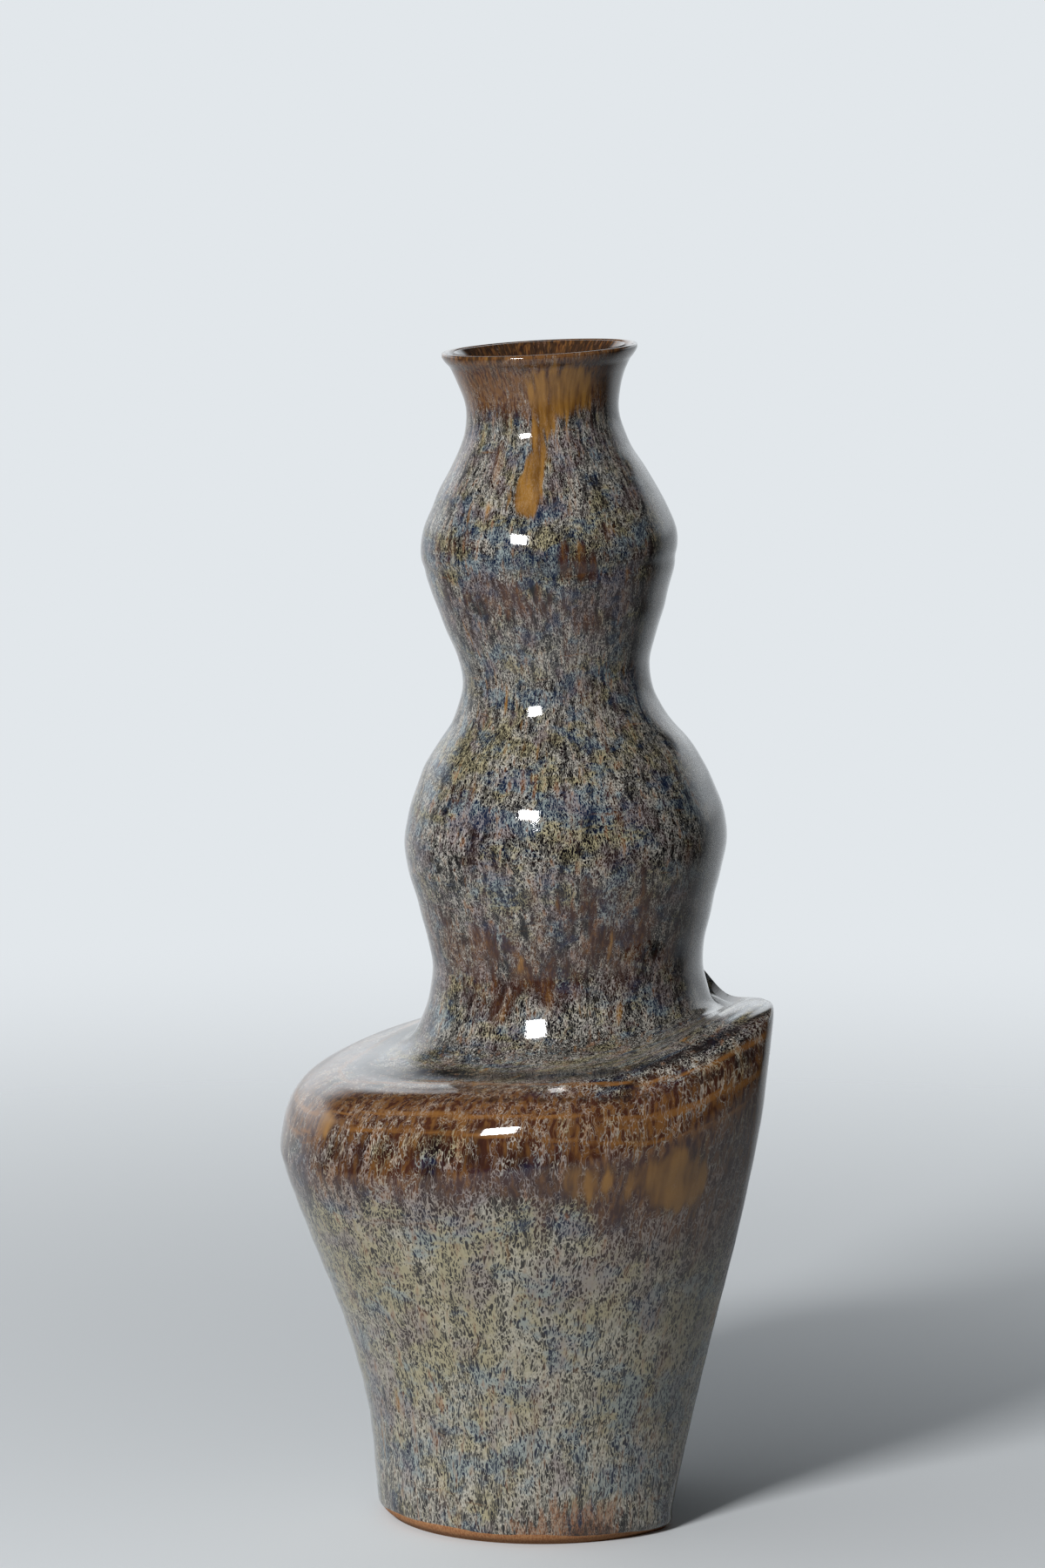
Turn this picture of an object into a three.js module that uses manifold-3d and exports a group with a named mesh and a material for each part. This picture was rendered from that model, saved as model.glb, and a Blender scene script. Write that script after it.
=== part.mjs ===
// Wall vase in glazed stoneware: a flat-backed body under a neck of two bulbs and a flared lip.
// Millimetres, +Z up, +Y towards the wall. The origin is the middle of the foot's underside.
import * as THREE from 'three';
import { mergeVertices } from 'three/addons/utils/BufferGeometryUtils.js';
import Module from 'manifold-3d';

const wasm = await Module();
wasm.setup();

// Stations of the body's profile, from the foot up. The columns are the radius, the height, the
// ring's setback towards the wall, its tilt in degrees with the wall side up, the extra lift of
// its wall side and the softness of its corner against the flat back.
const BODY_STATIONS = [
  [38.6, 0, 0, 0, 0, 6],
  [41.2, 2.2, 0, 0, 0, 6],
  [42, 7, 0, 0, 0, 8],
  [44.4, 28, 0.2, 0.5, 0, 3],
  [50.7, 51.5, 0.6, 2, 0, 3],
  [59.9, 75.8, 1.2, 4, 1, 6],
  [66.8, 95, 1.8, 6, 3.4, 10],
  [69.2, 105.5, 2.3, 7.5, 5.5, 14],
  [66.6, 117, 2.8, 8, 5.4, 10],
  [59.6, 122.4, 3.4, 8.5, 3.2, 5],
  [50, 123.8, 4.6, 8.2, 2.6, 3],
  [41, 125.2, 6.2, 6.2, 1.5, 2],
  [36.6, 131.6, 7, 4.5, 0.3, 2],
];
// The neck's rings share one tilt and clear the back, so they have a radius, a height and a setback.
const NECK_STATIONS = [
  [34.6, 143, 7.3],
  [37.5, 157, 7.2],
  [41.1, 175, 6.7],
  [35.4, 193, 5.6],
  [26.6, 206, 4.7],
  [23.9, 217.5, 4.1],
  [28.7, 233, 3.2],
  [32.6, 249, 2.3],
  [28.1, 262, 1.6],
  [21.5, 274, 1],
  [19.3, 283, 0.6],
  [21.4, 291.8, 0],
  [24.7, 297.4, -0.2],
  [24, 299, -0.25],
];
const NECK_TILT = 3.2;
const NECK_SOFTNESS = 2;
// How much of a ring's extra lift its wall side takes in the middle, and what its corners add
const MIDDLE_LIFT = 0.55;
const CORNER_LIFT = 7;

// Seams between the clay pieces, as stations. The thrown wall is joined where its profile turns.
const FOOT_SEAM = 2;
const BELLY_SEAM = 4.25;
const SHOULDER_SEAM = 7.5;
const DECK_SEAM = 9.8;
const ROOT_SEAM = 12.5;
const LOWER_BULB_SEAM = 15;
const WAIST_SEAM = 18;
const UPPER_BULB_SEAM = 20;
const THROAT_SEAM = 22.5;
const LIP = BODY_STATIONS.length + NECK_STATIONS.length - 1;
const LAP = 4;
const SLIP_GAP = 0.3;
const LAP_GAP = 0.6;

// Clay thickness: the body's wall thins above the shoulder and again at the lip
const BODY_WALL = 5.5;
const NECK_WALL = 4.2;
const LIP_WALL = 3;
const BODY_WALL_ENDS = 10;
const NECK_WALL_STARTS = 14;
const NECK_WALL_ENDS = 23;

// Flat back: a slab that leans out towards the top
const BACK_SLANT = THREE.MathUtils.degToRad(9.6);
const BACK_AT_FOOT = 27.6;
const BACK_THICKNESS = 6;
const BACK_TRIM = 0.4;
const BACK_NORMAL = new THREE.Vector3(0, Math.cos(BACK_SLANT), -Math.sin(BACK_SLANT));
const BACK_RISE = new THREE.Vector3(0, Math.sin(BACK_SLANT), Math.cos(BACK_SLANT));
const BACK_DISTANCE = BACK_AT_FOOT * Math.cos(BACK_SLANT);
const BACK_FACING_LIMIT = 0.05;

// Keyhole in the back slab, and the clay pocket that keeps it watertight
const HANG_HEIGHT = 88;
const KEYHOLE_ENTRY_RADIUS = 6;
const KEYHOLE_SLOT_RADIUS = 2.75;
const KEYHOLE_RISE = 14;
const POCKET_WIDTH = 28;
const POCKET_HEIGHT = 42;
const POCKET_DEPTH = 12;
const POCKET_WALL = 4;
const POCKET_CORNER = 9;

// Coils pressed into the inside corners of the seams
const COIL_RADIUS = 2.5;
const COIL_SIDES = 6;
const BACK_COIL_ANGLE = THREE.MathUtils.degToRad(50);
const BACK_COIL_STARTS = 2.5;
const BACK_COIL_ENDS = 7;
const BACK_COIL_POINTS = 9;
const BACK_COIL_STEPS = 18;
const SHOULDER_COIL_BACK_GAP = 8;

// Arcs of half a ring, from the wall side round to the front: start, end and steps, in degrees. The
// body's rings are finer where the round wall turns into the flat back.
const BODY_ARCS = [[0, 32, 3], [32, 64, 8], [64, 90, 3], [90, 180, 9]];
const NECK_ARCS = [[0, 180, 18]];
const STATION_STEP = 0.5;
const ARC_STEPS = 5;
const SPAN = 600;

const GLAZE = { roughness: 0.16, metalness: 0 };
const BARE_CLAY = { roughness: 0.85, metalness: 0 };

const stations = [
  ...BODY_STATIONS,
  ...NECK_STATIONS.map((ring) => [...ring, NECK_TILT, 0, NECK_SOFTNESS]),
];

/** A smooth curve through three columns of the stations. */
function curveThrough(first, second, third) {
  const points = stations.map((ring) => new THREE.Vector3(ring[first], ring[second], ring[third]));
  return new THREE.CatmullRomCurve3(points, false, 'catmullrom', 0.5);
}

const profile = curveThrough(0, 1, 2);
const stance = curveThrough(3, 4, 5);

/** Clay thickness at a station. */
function wallAt(station) {
  const neck = THREE.MathUtils.smoothstep(station, BODY_WALL_ENDS, NECK_WALL_STARTS);
  const lip = THREE.MathUtils.smoothstep(station, NECK_WALL_ENDS, LIP);
  const wall = THREE.MathUtils.lerp(BODY_WALL, NECK_WALL, neck);
  return THREE.MathUtils.lerp(wall, LIP_WALL, lip);
}

/** The lesser of two lengths, rounded over where they come within the softness of each other. */
function softMin(first, second, softness) {
  const overlap = Math.max(softness - Math.abs(first - second), 0) / softness;
  return Math.min(first, second) - (overlap * overlap * softness) / 4;
}

/**
 * A point in the clay. Depth is 0 on the outside and 1 on the inside of the wall, measured square to
 * the profile, and the angle turns from the wall side (+Y) towards +X.
 */
function clayPoint(station, depth, angle) {
  const at = station / LIP;
  const ring = profile.getPoint(at);
  const slope = profile.getTangent(at).setZ(0).normalize();
  const lean = stance.getPoint(at);
  const inset = depth * wallAt(station);
  const radius = ring.x - inset * slope.y;
  const tilt = THREE.MathUtils.degToRad(lean.x);
  const share = MIDDLE_LIFT + CORNER_LIFT * Math.sin(angle) ** 2;
  const facing = Math.max(Math.cos(angle), 0) ** 2 * share;
  const point = new THREE.Vector3(0, ring.z, ring.y + inset * slope.x + lean.y * facing);
  const side = Math.cos(angle);
  const ray = new THREE.Vector3(Math.sin(angle), side * Math.cos(tilt), side * Math.sin(tilt));
  const towardsBack = ray.dot(BACK_NORMAL);
  let reach = radius;
  if (towardsBack > BACK_FACING_LIMIT) {
    const plane = BACK_DISTANCE + BACK_TRIM - depth * BACK_THICKNESS;
    const toBack = (plane - point.dot(BACK_NORMAL)) / towardsBack;
    reach = softMin(radius, toBack, lean.z);
  }
  return point.addScaledVector(ray, reach);
}

/** The station a given length along the profile from another. */
function along(station, length) {
  const nearby = 0.01;
  const from = profile.getPoint((station - nearby) / LIP);
  const to = profile.getPoint(Math.min(station + nearby, LIP) / LIP);
  return station + (length * 2 * nearby) / Math.hypot(to.x - from.x, to.y - from.y);
}

/** Evenly spaced stations from one to another, both ends included. */
function stationsBetween(from, to) {
  const steps = Math.max(1, Math.round(Math.abs(to - from) / STATION_STEP));
  return Array.from({ length: steps + 1 }, (_, step) => from + ((to - from) * step) / steps);
}

/** Angles around a whole ring, from the arcs of one half and their mirror image. */
function ringAngles(arcs) {
  const half = arcs.flatMap(([from, to, steps]) =>
    Array.from({ length: steps }, (_, step) => from + ((to - from) * step) / steps));
  const mirrored = half.slice(1).reverse().map((angle) => 360 - angle);
  return [...half, 180, ...mirrored].map((angle) => THREE.MathUtils.degToRad(angle));
}

const bodyAngles = ringAngles(BODY_ARCS);
const neckAngles = ringAngles(NECK_ARCS);

/** The vertices of one ring around the vase. */
function ringVertices(station, depth, angles) {
  return angles.flatMap((angle) => clayPoint(station, depth, angle).toArray());
}

/** Triangles between two rings of vertices, facing out where the second ring is the higher. */
function ringBand(lower, upper, count) {
  const triangles = [];
  for (let segment = 0; segment < count; segment++) {
    const next = (segment + 1) % count;
    const [a, b] = [lower * count + segment, lower * count + next];
    const [c, d] = [upper * count + segment, upper * count + next];
    triangles.push(...(segment < count / 2 ? [a, c, b, c, d, b] : [a, c, d, a, d, b]));
  }
  return triangles;
}

/** A surface from bare vertices and triangles. */
function surface(vertices, triangles) {
  const geometry = new THREE.BufferGeometry();
  geometry.setAttribute('position', new THREE.Float32BufferAttribute(vertices, 3));
  geometry.setIndex(triangles);
  return geometry;
}

/** A closed ring of clay: a loop of [station, depth] pairs carried once around the vase. */
function clayRing(loop, angles) {
  const vertices = loop.flatMap(([station, depth]) => ringVertices(station, depth, angles));
  const triangles = loop.flatMap((_, index) => ringBand(index, (index + 1) % loop.length, angles.length));
  return surface(vertices, triangles);
}

/** The whole mass inside the outer surface between two stations, closed flat at both ends. */
function clayCore(from, to) {
  const levels = stationsBetween(from, to);
  const count = bodyAngles.length;
  const vertices = levels.flatMap((station) => ringVertices(station, 0, bodyAngles));
  const triangles = levels.slice(1).flatMap((_, index) => ringBand(index, index + 1, count));
  const top = (levels.length - 1) * count;
  for (let segment = 1; segment < count - 1; segment++) {
    triangles.push(0, segment, segment + 1);
    triangles.push(top, top + segment + 1, top + segment);
  }
  return surface(vertices, triangles);
}

/**
 * The cross-section of a thrown piece between two seams. A lapped end is stepped half way through
 * the wall, so that the inner half of the lower piece stands up inside the upper one. The foot's
 * seam is a plain butt, and the lip is free.
 */
function thrownSection(lower, upper) {
  const lapBelow = lower > FOOT_SEAM;
  const lapAbove = upper < LIP;
  const gap = LAP_GAP / 2 / BODY_WALL;
  const start = lapBelow ? along(lower, SLIP_GAP) : lower;
  const innerStart = lapBelow ? along(lower, LAP + SLIP_GAP) : lower;
  const innerEnd = lapAbove ? along(upper, LAP) : upper;
  const loop = stationsBetween(start, upper).map((station) => [station, 0]);
  if (lapAbove) {
    loop.push([upper, 0.5 + gap], [innerEnd, 0.5 + gap]);
  }
  loop.push(...stationsBetween(innerEnd, innerStart).map((station) => [station, 1]));
  if (lapBelow) {
    loop.push([innerStart, 0.5 - gap], [start, 0.5 - gap]);
  }
  return loop;
}

/** The cross-section of a coil that runs around the inside of a seam. */
function coilSection(station) {
  const middle = 1 + (COIL_RADIUS + 2 * SLIP_GAP) / wallAt(station);
  const loop = [];
  for (let side = 0; side < COIL_SIDES; side++) {
    const turn = (2 * Math.PI * side) / COIL_SIDES;
    const depth = middle - (COIL_RADIUS * Math.cos(turn)) / wallAt(station);
    loop.push([along(station, COIL_RADIUS * Math.sin(turn)), depth]);
  }
  return loop;
}

/** A block between two planes parallel to the back, at distances from the origin. */
function plate(from, to) {
  const block = new THREE.BoxGeometry(SPAN, to - from, SPAN);
  return block.rotateX(-BACK_SLANT).translate(...BACK_NORMAL.clone().multiplyScalar((from + to) / 2));
}

/** Moves a shape drawn on the slab's outer face, x across and y up, with +z into the vase. */
function ontoBack(geometry) {
  const rise = (HANG_HEIGHT + BACK_DISTANCE * Math.sin(BACK_SLANT)) / Math.cos(BACK_SLANT);
  const place = BACK_NORMAL.clone().multiplyScalar(BACK_DISTANCE).addScaledVector(BACK_RISE, rise);
  const across = new THREE.Vector3(1, 0, 0);
  const inward = BACK_NORMAL.clone().negate();
  return geometry.applyMatrix4(new THREE.Matrix4().makeBasis(across, BACK_RISE, inward).setPosition(place));
}

/** A flat shape given thickness along +z. */
function extruded(shape, depth, start = 0) {
  const options = { depth, bevelEnabled: false, curveSegments: ARC_STEPS };
  return new THREE.ExtrudeGeometry(shape, options).translate(0, 0, start);
}

/** The keyhole's outline: a round entry with a narrow slot above it. */
function keyholeShape() {
  const mouth = Math.acos(KEYHOLE_SLOT_RADIUS / KEYHOLE_ENTRY_RADIUS);
  const shape = new THREE.Shape();
  shape.absarc(0, 0, KEYHOLE_ENTRY_RADIUS, Math.PI - mouth, mouth, false);
  shape.absarc(0, KEYHOLE_RISE, KEYHOLE_SLOT_RADIUS, 0, Math.PI, false);
  shape.closePath();
  return shape;
}

/** A rectangle with round corners around the keyhole, smaller all round by the inset. */
function pocketShape(inset) {
  const corner = POCKET_CORNER - inset;
  const x = POCKET_WIDTH / 2 - POCKET_CORNER;
  const y = POCKET_HEIGHT / 2 - POCKET_CORNER;
  const middle = KEYHOLE_RISE / 2;
  const shape = new THREE.Shape();
  shape.absarc(x, middle + y, corner, 0, Math.PI / 2, false);
  shape.absarc(-x, middle + y, corner, Math.PI / 2, Math.PI, false);
  shape.absarc(-x, middle - y, corner, Math.PI, 1.5 * Math.PI, false);
  shape.absarc(x, middle - y, corner, 1.5 * Math.PI, 2 * Math.PI, false);
  shape.closePath();
  return shape;
}

/** A coil up the inside corner between the round wall and the back slab. */
function backCoil(side) {
  const points = [];
  for (let index = 0; index < BACK_COIL_POINTS; index++) {
    const part = index / (BACK_COIL_POINTS - 1);
    const station = THREE.MathUtils.lerp(BACK_COIL_STARTS, BACK_COIL_ENDS, part);
    const depth = 1 + (COIL_RADIUS + 2 * SLIP_GAP) / BODY_WALL;
    points.push(clayPoint(station, depth, side * BACK_COIL_ANGLE));
  }
  const section = new THREE.Shape();
  section.absarc(0, 0, COIL_RADIUS, 0, 2 * Math.PI, false);
  return new THREE.ExtrudeGeometry(section, {
    steps: BACK_COIL_STEPS,
    curveSegments: COIL_SIDES / 2,
    extrudePath: new THREE.CatmullRomCurve3(points),
  });
}

/** A closed solid ready for cutting. */
function solid(geometry) {
  const bare = geometry.clone();
  bare.deleteAttribute('normal');
  bare.deleteAttribute('uv');
  const merged = mergeVertices(bare);
  return new wasm.Manifold(new wasm.Mesh({
    numProp: 3,
    vertProperties: Float32Array.from(merged.attributes.position.array),
    triVerts: Uint32Array.from(merged.index.array),
  }));
}

const vase = new THREE.Group();
vase.name = 'wall_vase';

/** Adds one clay piece to the vase, from a surface or from a solid that was cut. */
function addPiece(name, shape, color, finish) {
  let geometry = shape;
  if (shape instanceof wasm.Manifold) {
    const mesh = shape.getMesh();
    geometry = surface(Array.from(mesh.vertProperties), Array.from(mesh.triVerts));
  }
  const piece = new THREE.Mesh(geometry, new THREE.MeshStandardMaterial({ color, ...finish }));
  piece.name = name;
  vase.add(piece);
}

const slabInside = BACK_DISTANCE - BACK_THICKNESS;
const frontOfSlab = solid(plate(-SPAN, slabInside - SLIP_GAP));

// Foot and flat back
const footTop = along(FOOT_SEAM, -SLIP_GAP);
const foot = solid(clayCore(0, footTop)).intersect(solid(plate(-SPAN, BACK_DISTANCE)));
addPiece('foot_slab', foot, '#a0653d', BARE_CLAY);

const keyhole = ontoBack(extruded(keyholeShape(), 3 * BACK_THICKNESS, -BACK_THICKNESS));
const slab = solid(clayCore(FOOT_SEAM, ROOT_SEAM)).intersect(solid(plate(slabInside, BACK_DISTANCE)));
addPiece('back_slab', slab.subtract(solid(keyhole)), '#6f6a64', GLAZE);

// Thrown rings of the body, cut off in front of the slab, and of the neck: name, seams and colour
const BODY_RINGS = [
  ['lower_wall', FOOT_SEAM, BELLY_SEAM, '#77716a'],
  ['belly_wall', BELLY_SEAM, SHOULDER_SEAM, '#736b64'],
  ['shoulder_turn', SHOULDER_SEAM, DECK_SEAM, '#6a4f3a'],
  ['shoulder_deck', DECK_SEAM, ROOT_SEAM, '#5d5550'],
];
for (const [name, lower, upper, color] of BODY_RINGS) {
  const ring = solid(clayRing(thrownSection(lower, upper), bodyAngles));
  addPiece(name, ring.intersect(frontOfSlab), color, GLAZE);
}

const NECK_RINGS = [
  ['neck_root', ROOT_SEAM, LOWER_BULB_SEAM, '#5f554c'],
  ['neck_lower_bulb', LOWER_BULB_SEAM, WAIST_SEAM, '#5c5652'],
  ['neck_waist', WAIST_SEAM, UPPER_BULB_SEAM, '#5a5654'],
  ['neck_upper_bulb', UPPER_BULB_SEAM, THROAT_SEAM, '#5e5852'],
  ['rim_collar', THROAT_SEAM, LIP, '#6a4a30'],
];
for (const [name, lower, upper, color] of NECK_RINGS) {
  addPiece(name, clayRing(thrownSection(lower, upper), neckAngles), color, GLAZE);
}

// Hanging pocket and seam coils inside the body
const pocketStart = BACK_THICKNESS + SLIP_GAP;
const pocketBlock = solid(ontoBack(extruded(pocketShape(0), POCKET_DEPTH, pocketStart)));
const hollowStart = pocketStart - POCKET_WALL;
const pocketHollow = solid(ontoBack(extruded(pocketShape(POCKET_WALL), POCKET_DEPTH, hollowStart)));
addPiece('hanger_pocket', pocketBlock.subtract(pocketHollow), '#8f5f3e', BARE_CLAY);

const footCoil = along(FOOT_SEAM, COIL_RADIUS + SLIP_GAP);
addPiece('foot_seam_coil', clayRing(coilSection(footCoil), bodyAngles), '#7d5a42', BARE_CLAY);
addPiece('back_seam_coil_left', backCoil(-1), '#7d5a42', BARE_CLAY);
addPiece('back_seam_coil_right', backCoil(1), '#7d5a42', BARE_CLAY);
const clearOfSlab = solid(plate(-SPAN, slabInside - SHOULDER_COIL_BACK_GAP));
const shoulderCoil = solid(clayRing(coilSection(SHOULDER_SEAM), bodyAngles)).intersect(clearOfSlab);
addPiece('shoulder_seam_coil', shoulderCoil, '#7d5a42', BARE_CLAY);
addPiece('neck_root_coil', clayRing(coilSection(ROOT_SEAM), neckAngles), '#7d5a42', BARE_CLAY);

export default vase;
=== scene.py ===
"""Wall vase in glazed stoneware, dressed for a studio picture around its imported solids.

Every clay piece is a patch of one surface, a stack of tilted rings that a leaning flat back cuts
off. Sizes in the tables are millimetres, and meshes are written in metres.
"""
import logging
import math
from dataclasses import dataclass
from enum import Enum
from typing import Any

import bpy
import numpy as np
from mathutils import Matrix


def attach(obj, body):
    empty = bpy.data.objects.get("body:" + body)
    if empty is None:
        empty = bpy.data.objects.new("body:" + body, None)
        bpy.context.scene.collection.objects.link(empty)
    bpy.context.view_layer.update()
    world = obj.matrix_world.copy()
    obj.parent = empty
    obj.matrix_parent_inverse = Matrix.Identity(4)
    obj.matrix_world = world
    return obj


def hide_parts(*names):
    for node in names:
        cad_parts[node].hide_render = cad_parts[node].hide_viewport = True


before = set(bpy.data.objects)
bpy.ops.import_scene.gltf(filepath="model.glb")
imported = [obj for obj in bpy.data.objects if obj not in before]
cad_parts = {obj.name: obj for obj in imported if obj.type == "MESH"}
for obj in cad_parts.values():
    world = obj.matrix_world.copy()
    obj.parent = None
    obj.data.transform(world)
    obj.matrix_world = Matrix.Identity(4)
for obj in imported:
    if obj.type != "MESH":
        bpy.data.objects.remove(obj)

Array = np.ndarray
LOG = logging.getLogger("wall_vase")
MM = 0.001
TINY = 1e-12

# The glaze's flow, in millimetres and stations. It runs on over the lip, and faster over the deck. On
# the body it runs slower up and round, so that threads too fine for the picture are drawn larger there
LIP_FLOW = 4.0
DECK_FLOW = 40.0
DECK_STATIONS = (9.0, 11.8)
NECK_RADIUS = 33.0
NECK_STATIONS = (8.0, 12.0)
BODY_RADIUS = 36.0
BODY_SLOWING = 0.45
BODY_TOP = 8.0

# The body's paler glaze: stations where it grows above the foot and fades below the shoulder
BODY_LEAST = 0.2
BODY_GROWS = (1.2, 4.0)
BODY_FADES = (4.2, 5.9)

# How bands of glaze climb: bearings away from the wall where they rise and where they fall again
CLIMB_RISES = (48.0, 142.0)
CLIMB_FALLS = (145.0, 180.0)
CLIMB_FALL = 0.3

# Waves of a band round the vase, and the square of how far a spot spreads over its half sizes
BAND_WAVES = 3
DOME_SPREAD = 2.2


class Slot(Enum):
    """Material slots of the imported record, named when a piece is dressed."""

    GLAZE = "glaze"
    CLAY = "bare_clay"


class Layer(Enum):
    """Vertex attributes that the finishes read."""

    FLOW = "flow"
    THIN = "thin"
    LINE = "line"
    DARK = "dark"
    AMBER = "amber"
    RUN = "run"
    RUST = "rust"
    OCHRE = "ochre"
    BLUE = "blue"
    PLUM = "plum"
    BODY = "body"
    BARE = "bare"


def linear(code: str) -> tuple[float, float, float, float]:
    """Turns an sRGB hex colour into linear red, green, blue and alpha.

    Args:
        code: the colour as #rrggbb.

    Returns:
        Four linear values, with alpha 1.
    """
    parts = [int(code[i:i + 2], 16) / 255 for i in (1, 3, 5)]
    lit = [c / 12.92 if c <= 0.04045 else ((c + 0.055) / 1.055) ** 2.4 for c in parts]
    return (lit[0], lit[1], lit[2], 1.0)


NOISE = "ShaderNodeTexNoise"
MATH = "ShaderNodeMath"
VECTOR = "ShaderNodeVectorMath"
RANGE = "ShaderNodeMapRange"
MIX = "ShaderNodeMix"
# Sockets of a mix node: the factor, two numbers and two colours
FACTOR, NUMBER, OTHER, FIRST, SECOND = 0, 2, 3, 6, 7


def add(
    tree: bpy.types.NodeTree, kind: str, inputs: dict | None = None, out: str = "", **settings: Any
) -> bpy.types.NodeSocket | None:
    """Adds one node, sets its settings and fills its inputs.

    Args:
        tree: the node tree that takes the node.
        kind: the node's type name.
        inputs: sockets by name or number, each with a value or with an output to link.
        out: the output to give back, or nothing for the first one in use.
        settings: the node's own properties.

    Returns:
        The output, or None on a node that has none.
    """
    node = tree.nodes.new(kind)
    for key, value in settings.items():
        setattr(node, key, value)
    for key, value in (inputs or {}).items():
        if isinstance(value, bpy.types.NodeSocket):
            tree.links.new(value, node.inputs[key])
        else:
            node.inputs[key].default_value = value
    if out:
        return node.outputs[out]
    return next((socket for socket in node.outputs if socket.enabled), None)


def blank_material(name: str) -> tuple[bpy.types.Material, bpy.types.NodeTree]:
    """Makes a material with an empty node tree, and gives back both."""
    made = bpy.data.materials.new(name)
    made.use_nodes = True
    made.node_tree.nodes.clear()
    return made, made.node_tree


def grid_faces(index: Array, ring: bool, loop: bool) -> Array:
    """Joins neighbours in a grid of vertex numbers with four-sided faces.

    Args:
        index: vertex numbers by row and column.
        ring: whether the last column meets the first.
        loop: whether the last row meets the first.

    Returns:
        Four vertex numbers a face, by row and column.
    """
    right, above = np.roll(index, -1, axis=1), np.roll(index, -1, axis=0)
    faces = np.stack([index, above, np.roll(above, -1, axis=1), right], -1)
    return faces[:None if loop else -1, :None if ring else -1]


def smoothstep(low: float, high: float, value: Array) -> Array:
    """Rises from 0 to 1 between two limits, level at both ends."""
    part = np.clip((value - low) / (high - low), 0.0, 1.0)
    return part * part * (3.0 - 2.0 * part)


def bump(centre: float, reach: float, value: Array) -> Array:
    """A bell that is 1 at its centre and nearly 0 at twice its reach."""
    return np.exp(-(((value - centre) / reach) ** 2))


def unit(vectors: Array) -> Array:
    """Scales each vector of an array to length 1."""
    return vectors / np.maximum(np.linalg.norm(vectors, axis=-1, keepdims=True), TINY)


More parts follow.
